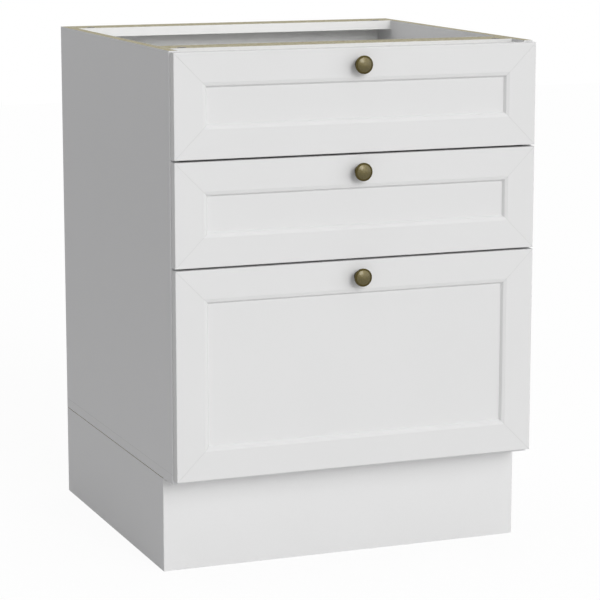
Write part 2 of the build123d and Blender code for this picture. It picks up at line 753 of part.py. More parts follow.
def knob():
    """A turned mushroom knob on the Z axis: foot, neck, flared head, rim and low dome."""
    foot, neck, head = KNOB_FOOT / 2, KNOB_NECK / 2, KNOB_DIAMETER / 2
    top, foot_high, waist = KNOB_PROJECTION, KNOB_FOOT_HEIGHT, KNOB_NECK_HEIGHT
    dome_low = top - KNOB_DOME_HEIGHT
    rim_low = dome_low - KNOB_RIM
    bead = head - KNOB_BEAD
    dome = bead - 0.5
    dome_radius = (dome**2 + KNOB_DOME_HEIGHT**2) / (2 * KNOB_DOME_HEIGHT)
    bore_radius = KNOB_SCREW_SIZE[1] / 2 + HOLE_PLAY
    hollow = ((foot - neck) * 0.3, (waist + foot_high) / 2 - 0.5)  # bend above the foot
    flare = ((head - neck) * 0.3, (rim_low + waist) / 2 + 0.5)  # bend below the head
    outline = [
        Line((0, top), (0, KNOB_BORE_DEPTH)),
        Line((0, KNOB_BORE_DEPTH), (bore_radius, KNOB_BORE_DEPTH)),
        Line((bore_radius, KNOB_BORE_DEPTH), (bore_radius, 0)),
        Line((bore_radius, 0), (foot, 0)),
        Line((foot, 0), (foot, foot_high)),
        ThreePointArc((foot, foot_high), (neck + hollow[0], hollow[1]), (neck, waist)),
        ThreePointArc((neck, waist), (neck + flare[0], flare[1]), (head, rim_low)),
        Line((head, rim_low), (head, dome_low)),
        Line((head, dome_low), (bead, dome_low + 0.3)),
        Line((bead, dome_low + 0.3), (dome, dome_low)),
        RadiusArc((dome, dome_low), (0, top), -dome_radius),
    ]
    return revolve(Plane.XZ * make_face(Curve() + outline), Axis.Z)


# ---------------------------------------------------------------- drawer boxes


def box_screw_heights(box_low, box_high):
    """Joining screws at a box corner: clear of the bottom groove and of the slide."""
    low, high = box_low + 21.0, box_high - 18.0
    return [low, high] if high - low < 120.0 else [low, (low + high) / 2 + 15.0, high]


def groove(box_low):
    """The space of the drawer bottom's grooves, all round."""
    z0 = box_low + BOX_BOTTOM_RISE
    reach = BOX_GROOVE_DEPTH
    return board(
        -BOX_INNER_HALF - reach,
        BOX_INNER_HALF + reach,
        Y_BOX + BOX_BOARD - reach,
        Y_BOX_END - BOX_BOARD + reach,
        z0,
        z0 + BOX_BOTTOM_THICKNESS + BOX_GROOVE_PLAY,
    )


def box_bottom(box_low):
    """The drawer bottom, held in its grooves."""
    z0 = box_low + BOX_BOTTOM_RISE
    reach = BOX_GROOVE_DEPTH - BOX_BOTTOM_PLAY
    return board(
        -BOX_INNER_HALF - reach,
        BOX_INNER_HALF + reach,
        Y_BOX + BOX_BOARD - reach,
        Y_BOX_END - BOX_BOARD + reach,
        z0,
        z0 + BOX_BOTTOM_THICKNESS,
    )


FRONT_SCREW_INSET = 60.0  # from the outer face of the drawer box
FRONT_SCREW_RISE = 18.0  # from the lower and upper edges of the box


def make_drawer(name, front_low, front_high, box_low, box_high):
    """Writes every piece of one drawer and of its slides' moving members."""
    prefix = f"drawer_{name}_"
    z_knob = front_high - KNOB_DROP
    z_slide = box_low + RUNNER_RISE

    knob_hole = aim(0, Y_FRONT_BACK, z_knob, FORWARD) * KNOB_SCREW_HOLE
    front_screws = [
        aim(side * (BOX_HALF - FRONT_SCREW_INSET), Y_BOX + BOX_BOARD, z, FORWARD)
        for side in (-1, 1)
        for z in (box_low + FRONT_SCREW_RISE, box_high - FRONT_SCREW_RISE)
    ]
    front_cuts = [knob_hole] + [place * FRONT_SCREW_HOLE for place in front_screws]

    rails, stiles = front_members(front_low, front_high)
    save(prefix + "front_rails", *[rail - front_cuts for rail in rails])
    save(prefix + "front_stiles", *stiles)
    save(prefix + "front_panel", front_panel(front_low, front_high) - front_cuts)
    save(prefix + "knob", aim(0, Y_FACE, z_knob, FORWARD) * knob())
    save(
        prefix + "front_fixings",
        aim(0, Y_FRONT_BACK, z_knob, FORWARD) * KNOB_SCREW,
        *[place * FRONT_SCREW for place in front_screws],
    )

    box_screws = [
        aim(side * BOX_HALF, y, z, (-side, 0, 0))
        for side in (-1, 1)
        for y in (Y_BOX + BOX_BOARD / 2, Y_BOX_END - BOX_BOARD / 2)
        for z in box_screw_heights(box_low, box_high)
    ]
    slide_screws = [
        aim(side * (BOX_HALF + RUNNER_WALL), y, z_slide, (-side, 0, 0))
        for side in (-1, 1)
        for y in RUNNER_SCREW_YS
    ]
    box_cuts = [groove(box_low)] + [place * JOINING_HOLE for place in box_screws]
    slide_cuts = [place * RUNNER_SCREW_HOLE for place in slide_screws]
    box_front = board(
        -BOX_INNER_HALF, BOX_INNER_HALF, Y_BOX, Y_BOX + BOX_BOARD, box_low, box_high
    )
    box_back = board(
        -BOX_INNER_HALF, BOX_INNER_HALF, Y_BOX_END - BOX_BOARD, Y_BOX_END, box_low, box_high
    )
    box_sides = [
        board(x, x + BOX_BOARD, Y_BOX, Y_BOX_END, box_low, box_high)
        for x in (-BOX_HALF, BOX_INNER_HALF)
    ]
    save(
        prefix + "box_front",
        box_front - (box_cuts + [place * FRONT_SCREW_HOLE for place in front_screws]),
    )
    save(prefix + "box_back", box_back - box_cuts)
    save(prefix + "box_sides", *[side - (box_cuts + slide_cuts) for side in box_sides])
    save(prefix + "box_bottom", box_bottom(box_low))
    save(prefix + "box_screws", *[place * JOINING_SCREW for place in box_screws])

    save(
        prefix + "channels", *[drawer_channel(side, z_slide, slide_screws) for side in (-1, 1)]
    )
    save(prefix + "channel_screws", *[place * RUNNER_SCREW for place in slide_screws])
    save(
        f"slide_members_{name}",
        *[piece for side in (-1, 1) for piece in middle_members(side, z_slide)],
    )


# ---------------------------------------------------------------- write everything

os.makedirs("parts", exist_ok=True)

save("side_left", carcass_side(-1))
save("side_right", carcass_side(1))
save("bottom_panel", bottom_panel())
save("rail_front", top_rail("rail_front"))
save("rail_rear", top_rail("rail_rear"))
save("back_panel", back_panel())
save("cam_locks", *cams)
save("cam_bolts", *bolts)
save("rail_dowels", *dowels)
save("bottom_screws", *[place * JOINING_SCREW for place in bottom_screw_places])
save("back_nails", *[place * NAIL for place in nail_places])

save("plinth_front", plinth_front())
save("plinth_rear", plinth_rear())
save("plinth_side_left", plinth_side(-1))
save("plinth_side_right", plinth_side(1))
save("plinth_blocks", *[corner_block(*corner) for corner in BLOCK_CORNERS])
save("plinth_screws", *[place * PLINTH_SCREW for place in plinth_screw_places])

save(
    "cabinet_channels",
    *[
        fixed_channel(side, box_low + RUNNER_RISE)
        for name, front_low, front_high, box_low, box_high in DRAWERS
        for side in (-1, 1)
    ],
)
save(
    "cabinet_channel_screws",
    *[place * RUNNER_SCREW for side in (-1, 1) for place in channel_screw_places[side]],
)

for drawer in DRAWERS:
    make_drawer(*drawer)
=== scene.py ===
import math

import bpy
from bpy.props import FloatProperty, FloatVectorProperty, PointerProperty
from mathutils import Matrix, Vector


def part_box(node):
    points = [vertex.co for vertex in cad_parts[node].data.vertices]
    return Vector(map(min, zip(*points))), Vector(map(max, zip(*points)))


bl_info = {
    "name": "Base cabinet finishes",
    "version": (1, 0, 0),
    "blender": (4, 5, 0),
    "location": "3D View > Sidebar > Cabinet",
    "description": "Finishes, lights and camera for a kitchen base cabinet with three drawers",
    "category": "Object",
}

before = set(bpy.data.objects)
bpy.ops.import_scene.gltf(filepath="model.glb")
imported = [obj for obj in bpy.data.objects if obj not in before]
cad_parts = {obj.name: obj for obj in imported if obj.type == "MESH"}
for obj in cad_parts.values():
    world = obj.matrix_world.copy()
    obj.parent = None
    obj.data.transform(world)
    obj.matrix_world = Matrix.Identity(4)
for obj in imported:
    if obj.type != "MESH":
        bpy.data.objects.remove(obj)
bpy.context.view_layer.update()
DRAWERS = ("top", "middle", "bottom")
MM = 0.001
LAMP_AWAY = 3.0  # metres; a sun lamp lights the same from any distance
PITH = (0.9, 0.35)  # metres from the origin to the heart of the sawn wood's log

# what the finish of the slides needs to know of their shape
CAGE_INNER = (13.8 * MM, 16.75 * MM)  # from a slide's middle line to the inner cage's two edges
CAGE_OUTER = 18.25 * MM  # from a slide's middle line to the outer cage
CAGE_EDGE = 0.1 * MM  # half the width of a cage's edge
BALL_ROWS = (15.3 * MM, 19.7 * MM)  # from a slide's middle line to its two rows of balls

# where one finish of a piece gives way to another, smoothly from the first number to the second
TURNED = (0.7, 0.9)  # how much of a face's normal lies along the axis that the face is turned to
# FRONT_TOP gives the band at a front's top that front_lacquer darkens as painted shade
FRONT_TOP = (0.4 * MM, 0.2 * MM)  # below a drawer front's highest point: where its top edge starts
SIDE_SEAM = (0.3 * MM, 0.5 * MM)  # above a side's lower end: how far the joint's line goes
KNOB_RIM = (3.2 * MM, 2.3 * MM)  # in from the knob's edge: where the dome ends
KNOB_DOME = (3.0 * MM, 4.0 * MM)  # behind the knob's tip: where the dome ends
KNOB_NECK = (4.0 * MM, 12.0 * MM)  # behind the knob's tip: where the patina grows darker
CAGE_FACE = (5.0 * MM, 5.4 * MM)  # from the side board to the inner cage
BALL_EDGE = (0.95 * MM, 1.1 * MM)  # from a ball's middle to its edge


def srgb(red, green, blue):
    """A colour as a screen shows it, in the linear numbers that shaders use."""

    def linear(value):
        value /= 255
        return value / 12.92 if value <= 0.04045 else ((value + 0.055) / 1.055) ** 2.4

    return (linear(red), linear(green), linear(blue))


def colour(name, description, value):
    """A setting that holds a colour."""
    return FloatVectorProperty(
        name=name, description=description, subtype="COLOR", min=0, max=1, default=value
    )


def length(name, description, value):
    """A setting in metres."""
    return FloatProperty(name=name, description=description, unit="LENGTH", default=value)


def angle(name, description, degrees):
    """A setting given in degrees, which Blender keeps in radians."""
    return FloatProperty(
        name=name, description=description, subtype="ANGLE", default=math.radians(degrees)
    )


def share(name, description, value):
    """A setting from 0 to 1."""
    return FloatProperty(
        name=name, description=description, subtype="FACTOR", min=0, max=1, default=value
    )


def direction(name, description, value):
    """A setting that says which way something lies."""
    return FloatVectorProperty(
        name=name, description=description, subtype="DIRECTION", default=value
    )


# ------------------------------------------------------------------ what a user can change


class CabinetBoardSettings(bpy.types.PropertyGroup):
    """Melamine-faced chipboard, hardboard and the corner blocks' pine"""

    white: colour("White", "Melamine faces and edges", srgb(225, 225, 226))
    # painted light: a lighter copy of the white melamine that lifts the plinth's front out of the
    # shade under the overhang
    plinth_white_painted_light: colour("Plinth white", "Melamine of the plinth's front", srgb(232, 232, 232))
    # painted light: a lighter copy of the white melamine for the rails and drawer boxes, which
    # stand in shade inside the carcass
    inner_white_painted_light: colour("Inner white", "Melamine of rails and drawer boxes", srgb(235, 235, 234))
    # the hardboard's face is really painted white, and this colour is made brighter still as
    # painted light for the dim inside of the cabinet
    paint: colour("Paint", "Painted face of the hardboard", srgb(250, 250, 249))
    pearl: length("Pearl size", "Size of the fine relief of the melamine", 0.6 * MM)
    paper: length("Paper", "Thickness of the melamine seen at a raw edge", 0.25 * MM)
    chip_dark: colour("Dark chips", "Darker chips of the raw core", srgb(138, 127, 97))
    chip_mid: colour("Chips", "Most chips of the raw core", srgb(172, 166, 141))
    chip_light: colour("Light chips", "Paler chips of the raw core", srgb(195, 188, 162))
    chip_long: length("Chip length", "Length of the chips of the core", 3.2 * MM)
    chip_thin: length("Chip thickness", "Thickness of the chips of the core", 0.7 * MM)
    fibre: colour("Hardboard", "Unpainted face of the hardboard", srgb(160, 124, 88))
    fibre_dark: colour("Hardboard flecks", "Darker fibres of the hardboard", srgb(122, 88, 58))
    pine: colour("Pine", "Early wood of the corner blocks", srgb(219, 184, 134))
    pine_dark: colour("Pine rings", "Late wood of the corner blocks", srgb(181, 132, 80))
    ring: length("Ring width", "Width of the pine's year rings", 3.4 * MM)


class CabinetFrontSettings(bpy.types.PropertyGroup):
    """Lacquered drawer fronts and their knobs"""

    lacquer: colour("Lacquer", "Colour of the drawer fronts", srgb(227, 227, 227))
    member: length("Frame member", "Width of the members of the frames", 53 * MM)
    mitre: length("Mitre line", "Half the width of the fine line along a mitre", 0.6 * MM)
    peel: length("Orange peel", "Size of the sprayed lacquer's relief", 1.3 * MM)
    brass: colour("Brass", "Rubbed places of the knobs", srgb(101, 91, 50))
    patina: colour("Patina", "Dark places of the knobs", srgb(62, 54, 24))
    mottle: length("Mottle", "Size of the patches of the patina", 1.5 * MM)


class CabinetSteelSettings(bpy.types.PropertyGroup):
    """Slides, screws, nails and cam fittings"""

    zinc: colour("Zinc plate", "Plated steel of slides and screws", srgb(178, 180, 182))
    tint: colour("Zinc tint", "Warm cast in the plating", srgb(183, 181, 173))
    casting: colour("Zinc casting", "Cast cam fittings", srgb(92, 94, 104))
    streak: length("Streak width", "Width of the rolling streaks", 0.5 * MM)
    cage: colour("Ball cages", "Plastic strips that hold the balls", srgb(52, 53, 56))
    ball_step: length("Ball spacing", "From one ball to the next", 8 * MM)


class CabinetStageSettings(bpy.types.PropertyGroup):
    """Camera, lights and floor"""

    lens: FloatProperty(name="Lens", description="Focal length", unit="CAMERA", default=144.0)
    eye: FloatVectorProperty(
        name="Eye",
        description="Where the camera stands",
        subtype="TRANSLATION",
        unit="LENGTH",
        default=(-1.419, -3.6445, 1.082),
    )
    heading: angle("Heading", "Turn of the view from straight at the wall to the right", 21.486)
    pitch: angle("Pitch", "Downward tilt of the view", 10.31)
    key_from: direction("Key from", "Where the key light stands", (0.081, -0.930, 0.358))
    key_share: share("Key light", "Light on a surface that faces the key light", 0.335)
    key_spread: angle("Key spread", "Width of the key light seen from the cabinet", 24)
    low_from: direction("Low from", "Where the low light stands", (0.610, -0.780, 0.139))
    low_share: share("Low light", "Light on a surface that faces the low light", 0.30)
    low_spread: angle("Low spread", "Width of the low light seen from the cabinet", 60)
    top_from: direction("Top from", "Where the top light stands", (0.180, -0.778, 0.602))
    top_share: share("Top light", "Light on a surface that faces the top light", 0.06)
    top_spread: angle("Top spread", "Width of the top light seen from the cabinet", 8)
    high_from: direction("High from", "Where the high light stands", (0.0, 0.174, 0.985))
    high_share: share("High light", "Light on a surface that faces the high light", 0.30)
    high_spread: angle("High spread", "Width of the high light seen from the cabinet", 50)
    sky: share("Room light", "Even light of the room", 0.36)
    floor: colour("Floor", "Colour of the floor", (0.56, 0.56, 0.56))
    floor_side: length("Floor side", "Length of the floor's sides", 14.0)
    shadow: share("Floor shadow", "How much of its light and shade the floor shows", 0.08)


# ------------------------------------------------------------------ shader building


class Value:
    """A socket in a finish. Arithmetic on it adds Math nodes."""

    def __init__(self, finish, socket):
        self.finish = finish
        self.socket = socket

    def math(self, operation, *values):
        sockets = dict(enumerate((self, *values)))
        return self.finish.node("Math", {"operation": operation}, sockets)

    def __add__(self, other):
        return self.math("ADD", other)

    __radd__ = __add__

    def __mul__(self, other):
        return self.math("MULTIPLY", other)

    __rmul__ = __mul__

    def __sub__(self, other):
        return self.math("SUBTRACT", other)

    def __rsub__(self, other):
        return self * -1 + other

    def __truediv__(self, other):
        return self.math("DIVIDE", other)

    def __pow__(self, other):
        return self.math("POWER", other)

    def __abs__(self):
        return self.math("ABSOLUTE")

    def __mod__(self, other):
        return self.math("FLOORED_MODULO", other)

    def over(self, other):
        return self.math("MAXIMUM", other)

    def under(self, other):
        return self.math("MINIMUM", other)

    def rises(self, low, high):
        """0 below low, 1 above high, smooth between."""
        return self.finish.node(
            "MapRange",
            {"interpolation_type": "SMOOTHSTEP", "clamp": True},
            {"Value": self, "From Min": low, "From Max": high},
        )

    def turned(self):
        """For a number from Finish.facing: 1 on the faces turned towards that axis."""
        return self.rises(*TURNED)


class Finish:
    """The nodes of one material, in object coordinates and metres, or of the room's light."""

    def __init__(self, name, kind="materials"):
        self.owner = getattr(bpy.data, kind).new(name)
        self.owner.use_nodes = True
        self.tree = self.owner.node_tree
        self.tree.nodes.clear()

    def node(self, kind, settings=None, values=None, output=0):
        """Adds a node: its settings first, then the values or links of its sockets."""
        made = self.tree.nodes.new("ShaderNode" + kind)
        for name, value in (settings or {}).items():
            if name == "stops":
                while len(made.color_ramp.elements) < len(value):
                    made.color_ramp.elements.new(0.5)
                for element, (place, tone) in zip(made.color_ramp.elements, value):
                    element.position = place
                    element.color = (*tone, 1)
            else:
                setattr(made, name, value)
        for name, value in (values or {}).items():
            socket = made.inputs[name]
            if isinstance(value, Value):
                self.tree.links.new(value.socket, socket)
            elif socket.type == "RGBA":
                socket.default_value = (*value, 1)
            else:
                socket.default_value = value
        return Value(self, made.outputs[output]) if made.outputs else None

    def place(self):
        """Where a point of the piece lies, in metres."""
        return self.node("TexCoord", output="Object")

    def axes(self, vector):
        """The three numbers of a vector."""
        made = self.node("SeparateXYZ", values={0: vector})
        return [Value(self, out) for out in made.socket.node.outputs]

    def facing(self):
        """How far each face is turned to the right, to the back and up."""
        return self.axes(self.node("NewGeometry", output="True Normal"))

    def stretch(self, vector, x, y, z):
        """Multiplies each axis of a vector."""
        return self.node("VectorMath", {"operation": "MULTIPLY"}, {0: vector, 1: (x, y, z)})

    def noise(self, vector, scale, detail=2.0, rough=0.5):
        """Noise from 0 to 1: scale gives patches a metre, detail and rough the finer layers."""
        values = {"Vector": vector, "Scale": scale, "Detail": detail, "Roughness": rough}
        return self.node("TexNoise", values=values)

    def blend(self, factor, low, high):
        """Mixes two colours."""
        return self.node("Mix", {"data_type": "RGBA"}, {0: factor, 6: low, 7: high}, output=2)

    def ramp(self, factor, *stops):
        """A colour for each factor. A stop is a factor and its colour."""
        return self.node("ValToRGB", {"stops": stops}, {0: factor})

    def bump(self, height, depth):
        """Relief of the given depth in metres."""
        return self.node("Bump", values={"Height": height, "Distance": depth, "Strength": 1.0})

    def surface(self, **values):
        """Ends the finish with its surface shader. Names are the shader's, with _ for spaces."""
        sockets = {name.replace("_", " "): value for name, value in values.items()}
        shader = self.node("BsdfPrincipled", values=sockets)
        self.node("OutputMaterial", values={"Surface": shader})
        return self.owner


def cover(material, *nodes):
    """Gives CAD nodes a finish."""
    for name in nodes:
        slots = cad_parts[name].data.materials
        slots.clear()
        slots.append(material)


class Box:
    """Lowest corner, highest corner and middle of a CAD node."""

    def __init__(self, name):
        self.low, self.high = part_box(name)
        self.middle = (self.low + self.high) / 2


# ------------------------------------------------------------------ finishes


def shade(tone, factor):
    """A colour made lighter or darker."""
    return tuple(min(1.0, part * factor) for part in tone)


def chip_core(f, thin_axis):
    """Colour and relief of raw chipboard, its chips lying across the given axis."""
    s = bpy.context.scene.cabinet_boards
    scales = [1 / s.chip_long] * 3
    scales[thin_axis] = 1 / s.chip_thin
    place = f.stretch(f.place(), *scales)
    warp = f.noise(place, 0.35, 2.0)
    shifted = f.node("VectorMath", {"operation": "ADD"}, {0: place, 1: warp})
    chips = f.node("TexVoronoi", {"feature": "F1"}, {"Vector": shifted, "Scale": 1.0}, "Color")
    grain = f.noise(place, 3.0, 4.0, 0.65)
    relief = (f.axes(chips)[0] * 0.7 + grain * 0.6 - 0.15).under(1.0).over(0.0)
    core = f.ramp(relief, (0.0, s.chip_dark), (0.5, s.chip_mid), (1.0, s.chip_light))
    return core, relief


def white_board(name, tone, raw=None, thin_axis=0, seam=None):
    """White melamine with a pearl relief.

    raw gives the places where the core is bare, and seam the fine dark line of a joint.
    """
    s = bpy.context.scene.cabinet_boards
    f = Finish(name)
    place = f.place()
    pearl = f.noise(place, 1 / s.pearl, 2.0, 0.4)
    cloud = f.noise(place, 7.0, 3.0)
    speck = f.noise(place, 420.0, 1.0)
    white = f.blend((cloud * 0.6 + speck * 0.4).rises(0.25, 0.75), shade(tone, 0.982), tone)
    if seam is not None:
        white = f.blend(seam(f) * 0.3, white, shade(tone, 0.2))
    gloss = 0.44 + cloud * 0.12 + pearl * 0.08
    if raw is None:
        return f.surface(
            Base_Color=white,
            Roughness=gloss,
            Specular_IOR_Level=0.2,
            Normal=f.bump(pearl, 0.012 * MM),
        )
    bare = raw(f)
    core, relief = chip_core(f, thin_axis)
    height = pearl * 0.08 * (1 - bare) + relief * bare
    return f.surface(
        Base_Color=f.blend(bare, white, core),
        Roughness=gloss * (1 - bare) + bare * 0.85,
        Specular_IOR_Level=0.2,
        Normal=f.bump(height, 0.15 * MM),
    )


def side_core(f):
    """Bare top and rear edges of a side board, inside the melamine's two thin lines."""
    s = bpy.context.scene.cabinet_boards
    side = Box("side_right")
    half = side.high.x - side.middle.x
    x = f.axes(f.place())[0]
    _, back, up = f.facing()
    skin = abs(abs(x) - side.middle.x).rises(half - s.paper, half - s.paper * 0.8)
    return up.turned().over(back.turned()) * (1 - skin)


def side_seam(f):
    """The joint of a side board with the end of the bottom panel below it."""
    lower_end = Box("side_right").low.z
    z = f.axes(f.place())[2]
    return 1 - (z - lower_end).rises(*SIDE_SEAM)


def rail_core(f):
    """Bare upper face of a top rail."""
    return f.facing()[2].turned()


def plinth_core(f):
    """Bare upper and lower edges of the plinth boards, and bare rear ends of the side ones."""
    s = bpy.context.scene.cabinet_boards
    board = Box("plinth_side_right")
    x, y, _ = f.axes(f.place())
    _, back, up = f.facing()
    ends = back.turned() * y.rises(board.high.y - 1 * MM, board.high.y - 0.5 * MM)
    ends = ends * abs(x).rises(board.low.x + s.paper * 0.8, board.low.x + s.paper)
    return abs(up).turned().over(ends)


def box_core(f):
    """Bare lower edges of the drawer box boards."""
    return (f.facing()[2] * -1).turned()


def back_inside(f):
    """The face of the back panel that looks into the cabinet, and its edges."""
    return 1 - f.facing()[1].turned()


def bottom_top(f):
    """The upper face of a drawer bottom."""
    return f.facing()[2].turned()


def hardboard(name, painted):
    """Thin hardboard, painted on the side that painted gives and brown on the other."""
    s = bpy.context.scene.cabinet_boards
    f = Finish(name)
    place = f.place()
    white_side = painted(f)
    fine = f.noise(place, 900.0, 3.0, 0.6)
    fibres = f.noise(place, 160.0, 6.0, 0.75)
    cloud = f.noise(place, 9.0, 3.0)
    brown = f.blend((fibres * 0.7 + fine * 0.3).rises(0.36, 0.62), s.fibre_dark, s.fibre)
    brown = f.blend(cloud.rises(0.3, 0.7) * 0.35, brown, shade(s.fibre, 1.12))
    # s.paint is the real white paint lifted further as painted light inside the carcass and the
    # drawers
    white = f.blend(cloud.rises(0.2, 0.8), shade(s.paint, 0.98), s.paint)
    height = (fibres * 0.5 + fine * 0.5) * (1 - white_side) + fine * 0.2 * white_side
    return f.surface(
        Base_Color=f.blend(white_side, brown, white),
        Roughness=0.42 + cloud * 0.08 + (1 - white_side) * 0.25,
        Specular_IOR_Level=0.22,
        Normal=f.bump(height, 0.06 * MM),
    )


def sawn_wood(name, light, dark, ring, grain_axis):
    """Planed wood, its grain along one axis."""
    f = Finish(name)
    place = f.place()
    scales = [1.0, 1.0, 1.0]
    scales[grain_axis] = 0.05
    along = f.stretch(place, *scales)
    wave = f.noise(along, 14.0, 2.0)
    first, second = [axis for i, axis in enumerate(f.axes(along)) if i != grain_axis]
    # the pith is far off, so that the rings run as gentle arcs through the block
    radius = ((first + PITH[0]) ** 2 + (second + PITH[1]) ** 2) ** 0.5
    phase = (radius / ring + wave * 3.0) % 1.0
    late = phase.rises(0.35, 0.92) * (1 - phase.rises(0.94, 1.0))
    streak = f.noise(along, 900.0, 3.0, 0.6)
    wood = f.blend(late * 0.8 + streak * 0.2, light, dark)
    wood = f.blend(streak.rises(0.55, 0.8) * 0.4, wood, shade(dark, 0.85))
    return f.surface(
        Base_Color=wood,
        Roughness=0.6 + streak * 0.15,
        Specular_IOR_Level=0.3,
        Normal=f.bump(late * 0.5 + streak * 0.5, 0.05 * MM),
    )


def front_lacquer(drawer):
    """Sprayed satin lacquer with a slight orange peel, fine dark lines along the mitres and
    painted shade on the upper edge.
    """
    s = bpy.context.scene.cabinet_fronts
    f = Finish(f"front_lacquer_{drawer}")
    frame_box = Box(f"drawer_{drawer}_front_stiles")
    high, middle = frame_box.high, frame_box.middle
    place = f.place()
    x, _, z = f.axes(place)
    peel = f.noise(place, 1 / s.peel, 2.0, 0.45)
    fine = f.noise(place, 4 / s.peel, 2.0, 0.5)
    cloud = f.noise(place, 5.0, 3.0)
    from_side = high.x - middle.x - abs(x - middle.x)
    from_end = high.z - middle.z - abs(z - middle.z)
    line = 1 - abs(from_side - from_end).rises(s.mitre * 0.3, s.mitre)
    line = line * (1 - from_side.rises(s.member, s.member + 0.5 * MM))
    white = f.blend(cloud.rises(0.2, 0.8), shade(s.lacquer, 0.985), s.lacquer)
    white = f.blend(line * 0.13, white, shade(s.lacquer, 0.2))
    # painted shade: the upward-facing top edge of each front is darkened
    edge = z.rises(high.z - FRONT_TOP[0], high.z - FRONT_TOP[1])
    white = f.blend(edge, white, shade(s.lacquer, 0.82))
    return f.surface(
        Base_Color=white,
        Roughness=0.46 + cloud * 0.1 + fine * 0.08,
        Specular_IOR_Level=0.2,
        Normal=f.bump(peel * 0.8 + fine * 0.2, 0.012 * MM),
    )


def aged_brass(drawer):
    """Browned brass: paler on the dome, dark on the rim, in the groove and towards the foot."""
    s = bpy.context.scene.cabinet_fronts
    f = Finish(f"aged_brass_{drawer}")
    knob = Box(f"drawer_{drawer}_knob")
    place = f.place()
    x, y, z = f.axes(place)
    radius = ((x - knob.middle.x) ** 2 + (z - knob.middle.z) ** 2) ** 0.5
    half = knob.high.x - knob.middle.x
    back = y - knob.low.y
    mottle = f.noise(place, 1 / s.mottle, 4.0, 0.6)
    fine = f.noise(place, 2200.0, 3.0, 0.6)
    rubbed = (mottle * 0.75 + fine * 0.25).rises(0.34, 0.68)
    dome = 1 - radius.rises(half - KNOB_RIM[0], half - KNOB_RIM[1])
    dome = dome * (1 - back.rises(*KNOB_DOME))
    behind = back.rises(*KNOB_NECK)
    worn = (rubbed * 0.5 + 0.3) * (dome * 0.62 + 0.38) * (1 - behind * 0.5)
    return f.surface(
        Base_Color=f.blend(worn, s.patina, s.brass),
        Metallic=0.85,
        Roughness=0.54 - dome * 0.1 + fine * 0.06,
        Coat_Weight=dome * 0.7,
        Coat_Roughness=0.24,
        Normal=f.bump(mottle * 0.6 + fine * 0.4, 0.035 * MM),
    )


def plated_steel(name, axis=None):
    """Bright zinc plate; rolled stock has its streaks along the given axis.

    Gives the finish so far, its colour and the noises that the rest of it uses.
    """
    s = bpy.context.scene.cabinet_steel
    f = Finish(name)
    place = f.place()
    scales = [1.0, 1.0, 1.0]
    if axis is not None:
        scales[axis] = 0.015
    streak = f.noise(f.stretch(place, *scales), 1 / s.streak, 3.0, 0.6)
    cloud = f.noise(place, 30.0, 4.0, 0.6)
    fine = f.noise(place, 2500.0, 2.0)
    metal = f.blend(cloud.rises(0.35, 0.7), s.zinc, s.tint)
    metal = f.blend(streak.rises(0.5, 0.8) * 0.35, metal, shade(s.zinc, 0.72))
    return f, metal, streak, cloud, fine


def slide_steel():
    """Rolled and plated channels."""
    f, metal, streak, cloud, fine = plated_steel("slide_steel", axis=1)
    return f.surface(
        Base_Color=metal,
        Metallic=1.0,
        Roughness=0.26 + streak * 0.14 + cloud * 0.08,
        Normal=f.bump(streak * 0.7 + fine * 0.3, 0.01 * MM),
    )


def slide_members(drawer):
    """Plated middle channel; the strips beside its lips are dark cages with bright balls."""
    s = bpy.context.scene.cabinet_steel
    f, metal, streak, _, fine = plated_steel(f"slide_members_{drawer}", axis=1)
    middle = Box(f"slide_members_{drawer}").middle
    side_face = Box("side_right").low.x
    x, y, z = f.axes(f.place())
    height = abs(z - middle.z)

    def beyond(limit):
        return height.rises(limit - CAGE_EDGE, limit + CAGE_EDGE)

    inner = beyond(CAGE_INNER[0]) * (1 - beyond(CAGE_INNER[1]))
    inner = inner * (side_face - abs(x)).rises(*CAGE_FACE)
    cage = inner.over(beyond(CAGE_OUTER))
    row = abs(height - BALL_ROWS[0]).under(abs(height - BALL_ROWS[1]))
    along = abs(y % s.ball_step - s.ball_step / 2)
    ball = 1 - ((row**2 + along**2) ** 0.5).rises(*BALL_EDGE)
    plastic = cage * (1 - ball)
    return f.surface(
        Base_Color=f.blend(plastic, metal, s.cage),
        Metallic=1 - plastic,
        Roughness=(0.26 + streak * 0.14) * (1 - plastic) + plastic * 0.45 - ball * cage * 0.15,
        Normal=f.bump(streak * 0.7 + fine * 0.3, 0.01 * MM),
    )


def screw_steel():
    """Plated screws and nails."""
    f, metal, streak, cloud, fine = plated_steel("screw_steel")
    return f.surface(
        Base_Color=metal,
        Metallic=1.0,
        Roughness=0.3 + streak * 0.12 + cloud * 0.06,
        Normal=f.bump(streak * 0.5 + fine * 0.5, 0.015 * MM),
    )


def cast_zinc():
    """Dull cast cam fittings."""
    s = bpy.context.scene.cabinet_steel
    f = Finish("cast_zinc")
    place = f.place()
    sand = f.noise(place, 1400.0, 4.0, 0.65)
    cloud = f.noise(place, 220.0, 3.0)
    metal = f.blend(cloud.rises(0.3, 0.7), shade(s.casting, 0.8), s.casting)
    return f.surface(
        Base_Color=metal,
        Metallic=0.9,
        Roughness=0.46 + sand * 0.18,
        Normal=f.bump(sand, 0.03 * MM),
    )


# ------------------------------------------------------------------ operators


class CABINET_OT_carcass(bpy.types.Operator):
    """White melamine on the sides, bottom and rails, with the bare core on their upper edges"""

    bl_idname = "cabinet.carcass"
    bl_label = "Carcass boards"

    def execute(self, context):
        s = context.scene.cabinet_boards
        sides = white_board("side_melamine", s.white, side_core, 0, side_seam)
        cover(sides, "side_left", "side_right")
        # the rails take the lighter copy of the melamine: painted light on their shaded faces
        cover(white_board("rail_melamine", s.inner_white_painted_light, rail_core, 2), "rail_front", "rail_rear")
        cover(white_board("panel_melamine", s.white), "bottom_panel")
        return {"FINISHED"}


